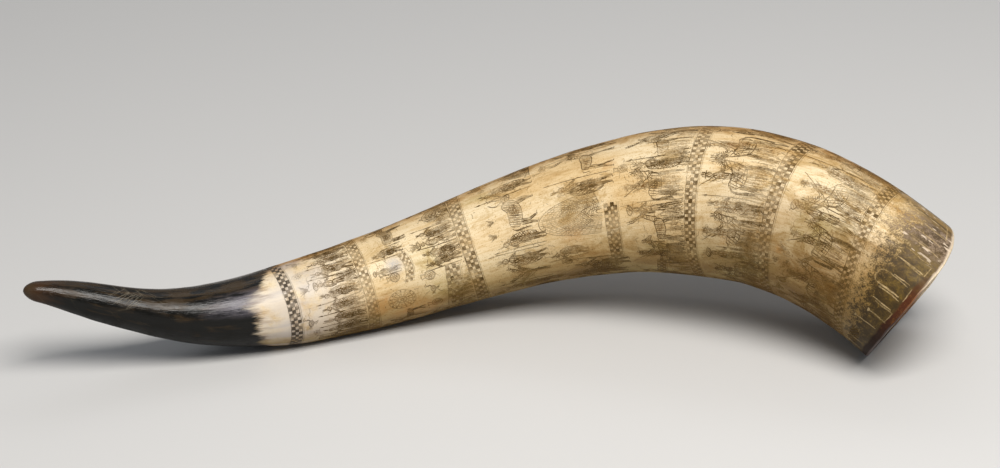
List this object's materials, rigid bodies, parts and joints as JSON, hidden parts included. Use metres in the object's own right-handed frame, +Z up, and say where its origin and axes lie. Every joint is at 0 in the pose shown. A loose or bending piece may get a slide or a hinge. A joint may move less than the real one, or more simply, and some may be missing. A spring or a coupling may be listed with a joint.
{
  "type": "engraved cow horn",
  "caption": "Hollow S-curved cow horn with a solid dark tip and a sawn open mouth, engraved all round with checked bands and rows of figures, lying on its side.",
  "frame": {"origin": "centre of the horn's box, on the surface that it lies on", "axes": "+X along the horn from the tip end to the mouth end, +Y to the back, +Z up"},
  "size_m": [0.456, 0.141, 0.1011],
  "materials": {
    "horn": "polished natural horn, ivory with ochre shading, black towards the tip, with dark pigment rubbed into fine engraving"
  },
  "bodies": {
    "root": {"horn": "horn"}
  },
  "joints": []
}
